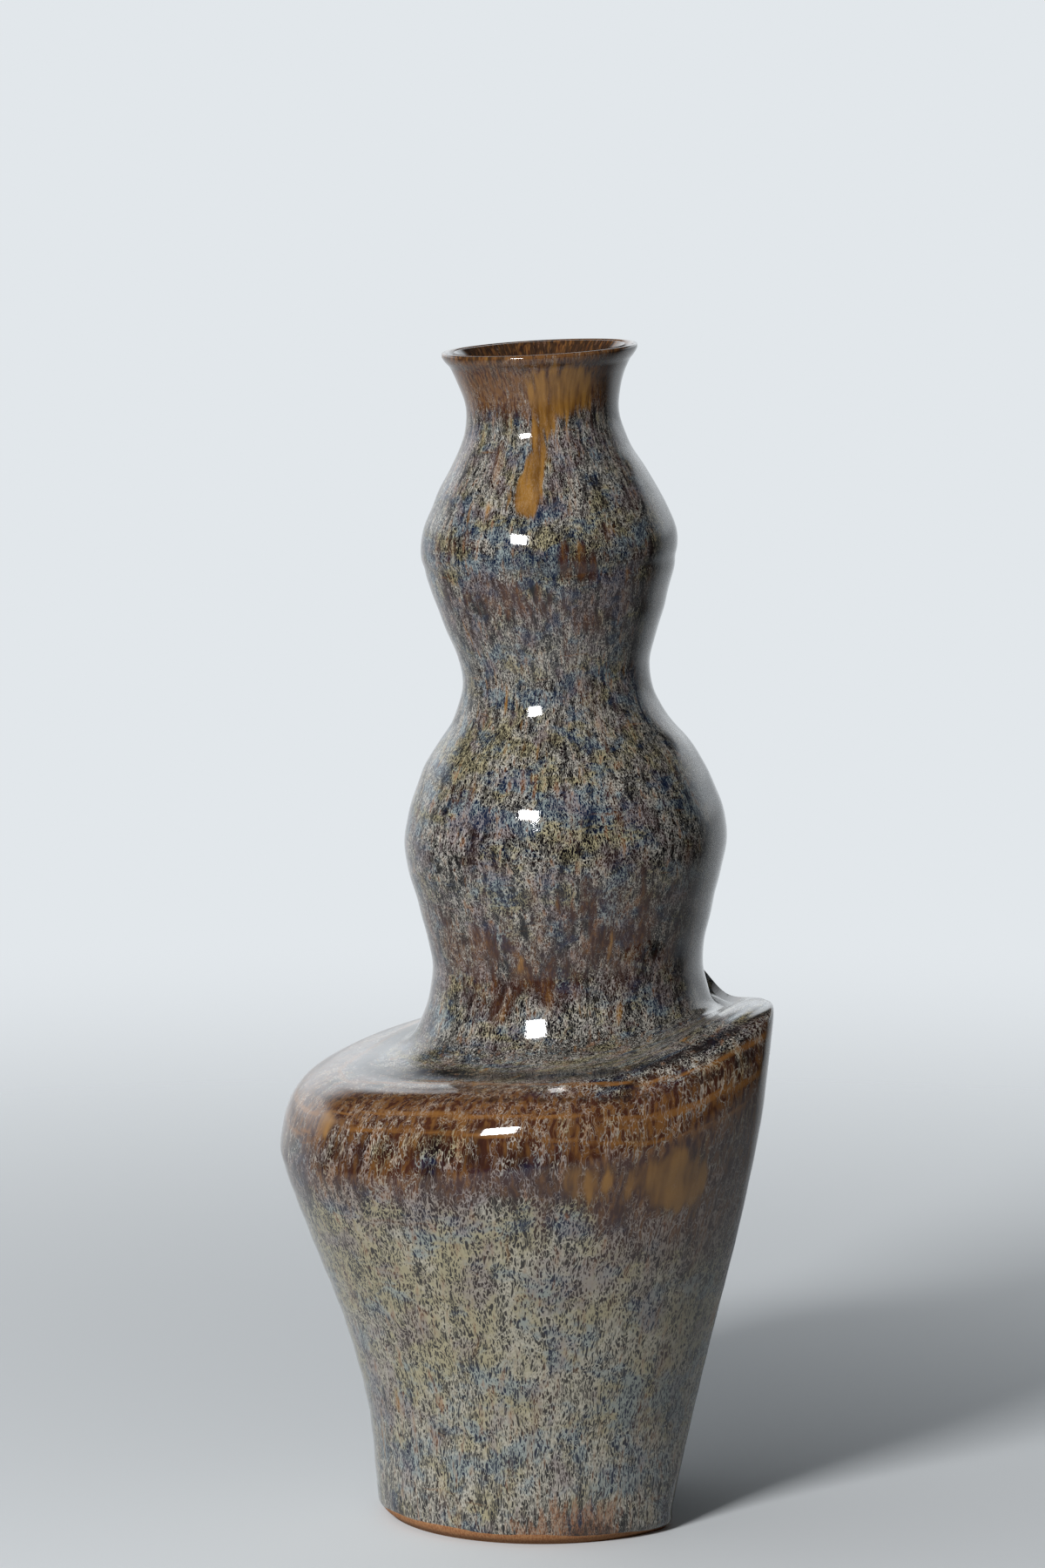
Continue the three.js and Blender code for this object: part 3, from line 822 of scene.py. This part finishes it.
    def layers(
        self, grid: Array, outer: int, station: Array, turn: Array
    ) -> dict[Layer, Array]:
        """Works out what the glaze reads at each point.

        Args:
            grid: points by row and bearing.
            outer: how many rows are on the outside.
            station: the outside rows' stations.
            turn: bearings in radians.

        Returns:
            An array for each layer.
        """
        count = len(grid)
        last = np.full((count - 2 * outer, 1), station[-1, 0])
        place = np.concatenate([station, last, station[::-1]]) + 0 * turn
        spin = turn + 0 * place
        over_lip = np.zeros((count, 1))
        if self.rolled_lip:
            over_lip[outer:] = LIP_FLOW
            over_lip[outer:-outer, 0] = np.linspace(0, LIP_FLOW, self.lip_rows)
        layers = glaze_layers(self.form, place, spin, grid, over_lip)
        if self.rolled_lip:
            layers[Layer.THIN][-outer:] = self.lip_thin
            layers[Layer.DARK][-outer:] = self.lip_dark
            layers[Layer.RUN][-outer:] = 0.0
        return layers


def glaze_layers(
    form: RingStack, station: Array, turn: Array, points: Array, more: Any = 0.0
) -> dict[Layer, Array]:
    """Works out what the glaze reads at each point.

    Flow runs round a cylinder of the body's or the neck's flow radius and up the profile. It runs
    faster over the shoulder's deck, where the glaze lay still and has specks in place of streaks, and
    slower on the body, where the threads are larger.

    Args:
        form: the vase's form.
        station: places along the profile.
        turn: bearings in radians.
        points: surface points in millimetres.
        more: millimetres to add along the flow.

    Returns:
        An array for each layer.
    """
    up = form.length(station) + DECK_FLOW * smoothstep(*DECK_STATIONS, station) + more
    up = up - BODY_SLOWING * form.length(np.minimum(station, BODY_TOP))
    low = station - side_climb(turn)
    wide = BODY_RADIUS + (NECK_RADIUS - BODY_RADIUS) * smoothstep(*NECK_STATIONS, station)
    grown = BODY_LEAST + (1 - BODY_LEAST) * smoothstep(*BODY_GROWS, station)
    layers = {
        Layer.FLOW: np.stack([wide * np.sin(turn), wide * np.cos(turn), up], -1),
        Layer.BODY: (1 - smoothstep(*BODY_FADES, low)) * grown,
        Layer.BARE: 0 * station,
    }
    for layer, places in GLAZE_MAP.items():
        layers[layer] = np.max([one.field(station, turn, points) for one in places], axis=0)
    return layers


def make_object(
    name: str,
    points: Array,
    quads: Array,
    normals: Array,
    flat: Array,
    finish: Array,
    layers: dict[Layer, Array],
) -> bpy.types.Object:
    """Puts a piece's arrays into a mesh object.

    Args:
        name: the CAD node that the piece stands for.
        points: vertices in millimetres.
        quads: four vertex numbers a face.
        normals: a normal for each vertex.
        flat: faces that keep their own flat normal.
        finish: the number of each face's finish.
        layers: vertex attributes.

    Returns:
        The new object, linked to the scene.
    """
    mesh = bpy.data.meshes.new(f"{name}_dressed")
    mesh.from_pydata((points * MM).tolist(), [], quads.tolist())
    corner = points[quads]
    own = unit(np.cross(corner[:, 2] - corner[:, 0], corner[:, 3] - corner[:, 1]))
    each = np.where(flat[:, None, None], own[:, None, :], normals[quads])
    mesh.polygons.foreach_set("use_smooth", np.ones(len(quads), bool))
    mesh.polygons.foreach_set("material_index", finish.astype(np.int32))
    for layer, values in layers.items():
        kind, key = ("FLOAT_VECTOR", "vector") if layer is Layer.FLOW else ("FLOAT", "value")
        data = mesh.attributes.new(layer.value, kind, "POINT").data
        data.foreach_set(key, np.ascontiguousarray(values, dtype=np.float32).ravel())
    mesh.normals_split_custom_set(each.reshape(-1, 3).tolist())
    mesh.update()
    made = bpy.data.objects.new(f"{name}_dressed", mesh)
    bpy.context.scene.collection.objects.link(made)
    return made


def settle(piece: bpy.types.Object, nodes: list[str], slot: Slot, *finishes: bpy.types.Material) -> None:
    """Dresses a piece and says which solids it stands for."""
    for finish in finishes:
        piece.data.materials.append(finish)
    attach(piece, "root")
    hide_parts(*nodes)
    LOG.info("%s: %d faces, stands for %s", piece.name, len(piece.data.polygons), ", ".join(nodes))


@dataclass
class BackSlab:
    """The flat back slab with the keyhole cut through it, which the vase hangs by."""

    form: RingStack
    marks: ThrowingMarks
    sides: Array
    turns: Array
    entry_height: float = 88.0
    entry_radius: float = 6.0
    slot_radius: float = 2.75
    slot_rise: float = 14.0
    eased_edge: float = 0.4
    face_rows: int = 14

    def keyhole(self, angle: Array) -> Array:
        """How far the keyhole's edge is from the middle of its round entry.

        It is the entry's radius, or in directions near straight up the distance to the slot's
        straight sides or to its round end, where that is further.

        Args:
            angle: directions in radians in the back's plane, from +X towards up.

        Returns:
            Distances in millimetres.
        """
        across, along = np.abs(np.cos(angle)), np.sin(angle)
        miss = self.slot_rise * across
        end = self.slot_rise * along + np.sqrt(np.maximum(self.slot_radius ** 2 - miss ** 2, 0.0))
        side = self.slot_radius / np.maximum(across, TINY)
        slot = np.where(miss <= self.slot_radius, end, side)
        return np.maximum(self.entry_radius, np.where(along > 0, slot, 0.0))

    def outline(self) -> tuple[Array, Array]:
        """Stations and bearings once round the slab: up one side, over, down the other and back."""
        up, over = self.sides, self.turns[::-1]
        top, foot = np.full(len(over) - 1, up[-1]), np.full(len(over) - 1, up[0])
        near, far = np.full(len(up) - 1, over[0]), np.full(len(up) - 1, over[-1])
        station = np.concatenate([up[:-1], top, up[:0:-1], foot])
        return station, np.concatenate([near, over[:-1], far, over[:0:-1]])

    def build(self) -> bpy.types.Object:
        """Makes the slab's mesh as one closed loop of rows.

        Rows run straight from the slab's outline to the keyhole's edge on the outside, through the
        hole, and straight out again on the inside. The joint between the two outlines closes it.

        Returns:
            The new object.
        """
        form = self.form
        low, high = self.sides[0], self.sides[-1]
        piece = ClayPiece(form, self.marks, "back_slab", low, high, self.turns, False)
        station, turn = self.outline()
        front, inside = piece.outside(station, turn), piece.inside(station, turn)
        slant = math.radians(form.back_slant)
        upward = np.array([0.0, math.sin(slant), math.cos(slant)])
        sideways = np.array([1.0, 0.0, 0.0])
        middle = form.back_distance * form.back_normal
        middle = middle + upward * (self.entry_height - middle[2]) / upward[2]
        away = front - middle
        angle = np.arctan2(away @ upward, away @ sideways)
        towards = np.cos(angle)[:, None] * sideways + np.sin(angle)[:, None] * upward
        edge = middle + self.keyhole(angle)[:, None] * towards
        part = np.linspace(0, 1, self.face_rows)[:, None, None]
        outer = front * (1 - part) + (edge + self.eased_edge * towards) * part
        inner = (edge - form.back_thickness * form.back_normal) * (1 - part) + inside * part
        grid = np.concatenate([outer, (edge - self.eased_edge * form.back_normal)[None], inner])
        count, wide = grid.shape[:2]
        index = np.arange(count * wide).reshape(count, wide)
        quads = grid_faces(index, True, True).reshape(-1, 4)
        row = np.repeat(np.arange(count), wide)
        finish = np.where(row < self.face_rows - 1, 0, np.where(row > self.face_rows, 1, 2))
        rise = (piece.outside(self.sides, self.turns[-1] + 0 * self.sides) - middle) @ upward
        place = np.interp((grid - middle) @ upward, rise, self.sides)
        ring, _ = form.at(place)
        level = (grid[..., 1] - ring[..., 2]) / np.cos(np.radians(ring[..., 3]))
        spin = np.arctan2(grid[..., 0], level)
        normals = np.broadcast_to(form.back_normal, (count * wide, 3))
        return make_object("back_slab", grid.reshape(-1, 3), quads, normals, np.ones(len(quads), bool),
                           finish, glaze_layers(form, place, spin, grid))


@dataclass
class Shell:
    """The thrown body, its flat back and the neck, each ring a piece of its own."""

    form: RingStack
    marks: ThrowingMarks
    glaze: bpy.types.Material
    liner: bpy.types.Material
    clay: bpy.types.Material
    slab_edge: float = 20.0
    corner_end: float = 66.0
    back_step: float = 2.0
    corner_step: float = 0.75
    front_step: float = 1.5
    slack: float = 1e-9
    body_rings: tuple = (
        ("lower_wall", 2, 4.25),
        ("belly_wall", 4.25, 7.5),
        ("shoulder_turn", 7.5, 9.8),
    )
    full_rings: tuple = (
        ("shoulder_deck", 9.8, 12.5),
        ("neck_root", 12.5, 15),
        ("neck_lower_bulb", 15, 18),
        ("neck_waist", 18, 20),
        ("neck_upper_bulb", 20, 22.5),
        ("rim_collar", 22.5, 25.5),
    )

    def bearings(self) -> Array:
        """Bearings of a whole ring, closer together at the corners beside the flat back."""
        half = np.concatenate([
            np.arange(0, self.slab_edge, self.back_step),
            np.arange(self.slab_edge, self.corner_end, self.corner_step),
            np.arange(self.corner_end, 180.0, self.front_step),
        ])
        return np.radians(np.concatenate([-half[:0:-1], half, [180.0]]))

    def build(self) -> None:
        """Makes all the rings and the slab, and dresses them."""
        ring = self.bearings()
        edge = math.radians(self.slab_edge)
        right, left = ring[ring >= edge - self.slack], ring[ring <= self.slack - edge]
        front = np.concatenate([right, left + 2 * np.pi])
        back = ring[np.abs(ring) <= edge + self.slack]
        body = [ClayPiece(self.form, self.marks, *part, front, False) for part in self.body_rings]
        made = [part.build() for part in body]
        for name, low, high in self.full_rings:
            rolled = name == "rim_collar"
            made.append(ClayPiece(self.form, self.marks, name, low, high, ring, True, rolled).build())
        sides = np.unique(np.concatenate([part.stations() for part in body]).round(9))
        slab = BackSlab(self.form, self.marks, sides, back).build()
        for piece in made:
            settle(piece, [piece.name.removesuffix("_dressed")], Slot.GLAZE, self.glaze, self.liner)
        settle(slab, ["back_slab"], Slot.GLAZE, self.glaze, self.liner, self.clay)


@dataclass
class Foot:
    """The foot slab: a disc with a flat back edge, glazed down to a wavy line above its base.

    The columns of the line's waves are height, how many go round the foot, and shift.
    """

    form: RingStack
    marks: ThrowingMarks
    glaze: bpy.types.Material
    turns: Array
    top: float = 2.0
    line_height: float = 2.0
    line_wave: float = 1.1
    line_bearing: float = 150.0
    line_waves: tuple = ((0.3, 5, 0.0), (0.4, 3, 1.0), (0.2, 11, 0.0))
    line_softness: float = 0.5
    glaze_step: float = 0.35
    side_rows: int = 15
    base_rows: int = 8

    def bare(self, points: Array) -> Array:
        """How bare the clay is: 1 below a wavy line round the foot and 0 above it."""
        turn = np.arctan2(points[..., 0], points[..., 1])
        line = self.line_height + self.line_wave * np.cos(turn - math.radians(self.line_bearing))
        for height, count, shift in self.line_waves:
            line = line + height * np.sin(count * turn + shift)
        return smoothstep(self.line_softness, -self.line_softness, points[..., 2] - line)

    def build(self) -> None:
        """Makes the foot: a disc below, the side up to the first seam and a disc above."""
        station = np.linspace(0, self.top, self.side_rows)[:, None]
        turn = self.turns[None, :]
        side = self.form.points(station, turn, 0 * station + 0 * turn)
        worn = self.bare(side)[..., None] * self.glaze_step * (station > 0)[..., None]
        side = side - worn * np.stack([np.sin(turn), np.cos(turn), 0 * turn], -1)
        shrink = np.linspace(0, 1, self.base_rows)[:, None, None]
        base = side[:1] * shrink
        level, upright = np.array([1.0, 1.0, 0.0]), np.array([0.0, 0.0, 1.0])
        cover = side[-1:] * level * shrink[::-1] + upright * side[-1:]
        grid = np.concatenate([base[:-1], side, cover[1:]])
        count, wide = grid.shape[:2]
        index = np.arange(count * wide).reshape(count, wide)
        quads = grid_faces(index, True, False).reshape(-1, 4)
        piece = ClayPiece(self.form, self.marks, "foot_slab", 0, self.top, self.turns, True)
        side_n = piece.facing(piece.outside, station, turn)
        below, above = (0 * disc + upright for disc in (base[:-1], cover[1:]))
        normals = np.concatenate([-below, side_n, above])
        rows = np.repeat(np.arange(count - 1), wide)
        flat = (rows < self.base_rows - 1) | (rows >= count - self.base_rows)
        place = np.concatenate([
            0 * base[:-1, :, 0], station + 0 * turn, self.top + 0 * cover[1:, :, 0]])
        spin = turn + 0 * place
        layers = glaze_layers(self.form, place, spin, grid)
        layers[Layer.BARE] = self.bare(grid)
        made = make_object("foot_slab", grid.reshape(-1, 3), quads, normals.reshape(-1, 3), flat,
                           np.zeros(len(quads), bool), layers)
        settle(made, ["foot_slab"], Slot.CLAY, self.glaze)


@dataclass
class HiddenClay:
    """Solids inside the vase that keep their shape: the hanging pocket and the seam coils."""

    clay: bpy.types.Material
    liner: bpy.types.Material
    pocket: str = "hanger_pocket"
    coils: tuple = (
        "foot_seam_coil", "back_seam_coil_left", "back_seam_coil_right",
        "shoulder_seam_coil", "neck_root_coil",
    )

    def dress(self) -> None:
        """Gives each solid its finish."""
        for name in (self.pocket, *self.coils):
            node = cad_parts[name]
            for place in node.material_slots:
                place.link = "OBJECT"
                place.material = self.clay if name == self.pocket else self.liner
            LOG.info("%s: keeps its solid", name)


@dataclass
class Studio:
    """Camera, pale floor, soft lamp and backdrop.

    Limits are dot products of a ray and a direction. `light_from` says how far the room's light
    comes from behind, from the left and from above, as the camera sees it.
    """

    camera_place: tuple = (1.5356, -0.4161, 0.3987)
    camera_pitch: float = 7.55
    camera_bearing: float = 75.0
    lens: float = 145.2
    sensor: float = 36.0
    backdrop: str = "#e2e7eb"
    floor_colour: str = "#eef2f5"
    floor_bounce: str = "#8c8f92"
    floor_reach: float = 3.0
    floor_sides: int = 64
    floor_fade: float = 0.95
    paper_fibres: float = 900.0
    paper_roughness: float = 0.9
    paper_relief: float = 0.05
    paper_depth: float = 0.2
    key_place: tuple = (0.95, -0.93, 0.84)
    key_size: tuple = (0.34, 0.19)
    key_power: float = 19.5
    aim: tuple = (0.0, 0.005, 0.19)
    dim: float = 0.03
    bright: float = 0.65
    dim_glossy: float = 0.04
    bright_glossy: float = 1.9
    light_from: tuple = (0.45, 0.75, 0.35)
    light_limits: tuple = (0.15, 0.9)
    behind_limits: tuple = (0.3, 0.7)
    glow_limits: tuple = (0.0, 0.22)
    height_limits: tuple = (0.34, 0.48)

    def camera(self) -> None:
        """Sets the camera at the photograph's viewing angle."""
        data = bpy.data.cameras.new("studio_camera")
        data.lens = self.lens
        data.sensor_width = self.sensor
        made = bpy.data.objects.new("studio_camera", data)
        made.location = self.camera_place
        made.rotation_euler = (
            math.radians(90 - self.camera_pitch), 0.0, math.radians(self.camera_bearing))
        bpy.context.scene.collection.objects.link(made)
        bpy.context.scene.camera = made

    def lamp(self) -> None:
        """Hangs the soft box, which faces the vase."""
        data = bpy.data.lights.new("soft_box", "AREA")
        data.shape = "RECTANGLE"
        data.size, data.size_y = self.key_size
        data.energy = self.key_power
        made = bpy.data.objects.new("soft_box", data)
        away = np.array(self.key_place) - np.array(self.aim)
        flat = math.hypot(away[0], away[1])
        made.location = self.key_place
        made.rotation_euler = (math.atan2(flat, away[2]), 0.0, math.atan2(away[0], -away[1]))
        bpy.context.scene.collection.objects.link(made)

    def world(self) -> None:
        """Lights the room, brightest from its left and dim from the camera's side.

        Reflections show a pale backdrop of limited height behind the vase, which glows more higher
        up, and a dim room elsewhere. The camera sees an even backdrop.
        """
        world = bpy.data.worlds.new("studio_room")
        bpy.context.scene.world = world
        world.use_nodes = True
        tree = world.node_tree
        tree.nodes.clear()
        ahead = math.radians(self.camera_bearing)
        back = np.array([-math.sin(ahead), math.cos(ahead), 0.0])
        left = np.array([-math.cos(ahead), -math.sin(ahead), 0.0])
        up = np.array([0.0, 0.0, 1.0])
        ray = add(tree, "ShaderNodeTexCoord", out="Generated")
        towards = np.array(self.light_from) @ np.stack([back, left, up])
        span = {}
        for name, facing, (low, high), first, last in (
            ("lit", towards, self.light_limits, self.dim, self.bright),
            ("behind", back, self.behind_limits, 0.0, 1.0),
            ("glow", up, self.glow_limits, 1.0, self.bright_glossy),
            ("below_edge", up, self.height_limits, 1.0, 0.0),
        ):
            side = add(tree, VECTOR, {0: ray, 1: tuple(facing)}, operation="DOT_PRODUCT")
            span[name] = add(tree, RANGE, {"Value": side, "From Min": low, "From Max": high,
                                           "To Min": first, "To Max": last},
                             interpolation_type="SMOOTHSTEP")
        shown = add(tree, MATH, {0: span["behind"], 1: span["below_edge"]}, operation="MULTIPLY")
        shown = add(tree, MIX, {FACTOR: shown, NUMBER: self.dim_glossy, OTHER: span["glow"]},
                    data_type="FLOAT")
        level = span["lit"]
        for sort, strength in (("Is Glossy Ray", shown), ("Is Camera Ray", 1.0)):
            sort = add(tree, "ShaderNodeLightPath", out=sort)
            level = add(tree, MIX, {FACTOR: sort, NUMBER: level, OTHER: strength}, data_type="FLOAT")
        room = add(tree, "ShaderNodeBackground", {"Color": linear(self.backdrop), "Strength": level})
        add(tree, "ShaderNodeOutputWorld", {"Surface": room})

    def floor(self) -> None:
        """Lays a pale paper floor that fades into the backdrop away from the vase.

        The paper is matt, so that it takes the shadow and shows no shine. It throws back less light
        on the vase than it shows.
        """
        reach = self.floor_reach
        mesh = bpy.data.meshes.new("paper_floor")
        turn = np.linspace(0, 2 * np.pi, self.floor_sides, endpoint=False)
        edge = np.stack([reach * np.cos(turn), reach * np.sin(turn), 0 * turn], -1)
        mesh.from_pydata(edge.tolist(), [], [list(range(len(turn)))])
        made = bpy.data.objects.new("paper_floor", mesh)
        bpy.context.scene.collection.objects.link(made)
        paper, tree = blank_material("matt_background_paper")
        place = add(tree, "ShaderNodeTexCoord", out="Object")
        away = add(tree, VECTOR, {0: place}, operation="LENGTH")
        fade = add(tree, RANGE, {"Value": away, "From Min": 0.0, "From Max": self.floor_fade},
                   interpolation_type="SMOOTHSTEP")
        fibre = add(tree, NOISE, {"Vector": place, "Scale": self.paper_fibres, "Detail": 2.0})
        grain = add(tree, "ShaderNodeBump", {"Height": fibre, "Strength": self.paper_relief,
                                             "Distance": self.paper_depth * MM})
        path = "ShaderNodeLightPath"
        seen = add(tree, path, out="Is Camera Ray")
        mirrored = add(tree, path, out="Is Glossy Ray")
        seen = add(tree, MATH, {0: seen, 1: mirrored}, operation="MAXIMUM")
        tone = add(tree, MIX, {FACTOR: seen, FIRST: linear(self.floor_bounce),
                               SECOND: linear(self.floor_colour)}, data_type="RGBA")
        matt = add(tree, "ShaderNodeBsdfPrincipled",
                   {"Base Color": tone, "Roughness": self.paper_roughness, "Normal": grain})
        clear = add(tree, "ShaderNodeBsdfTransparent")
        mixed = add(tree, "ShaderNodeMixShader", {0: fade, 1: matt, 2: clear})
        add(tree, "ShaderNodeOutputMaterial", {"Surface": mixed})
        mesh.materials.append(paper)

    def build(self) -> None:
        """Sets up the whole studio."""
        self.camera()
        self.lamp()
        self.world()
        self.floor()
        bpy.context.scene.view_settings.view_transform = "Standard"


def main() -> None:
    """Builds the studio, the shell, the foot and the hidden clay."""
    logging.basicConfig(level=logging.INFO, format="%(name)s: %(message)s")
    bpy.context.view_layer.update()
    Studio().build()
    form, marks = RingStack(), ThrowingMarks()
    glaze = ReactiveGlaze().material()
    liner, clay = LINER_GLAZE.material(), BARE_STONEWARE.material()
    shell = Shell(form, marks, glaze, liner, clay)
    shell.build()
    Foot(form, marks, glaze, shell.bearings()).build()
    HiddenClay(clay, liner).dress()


if __name__ == "__main__":
    main()
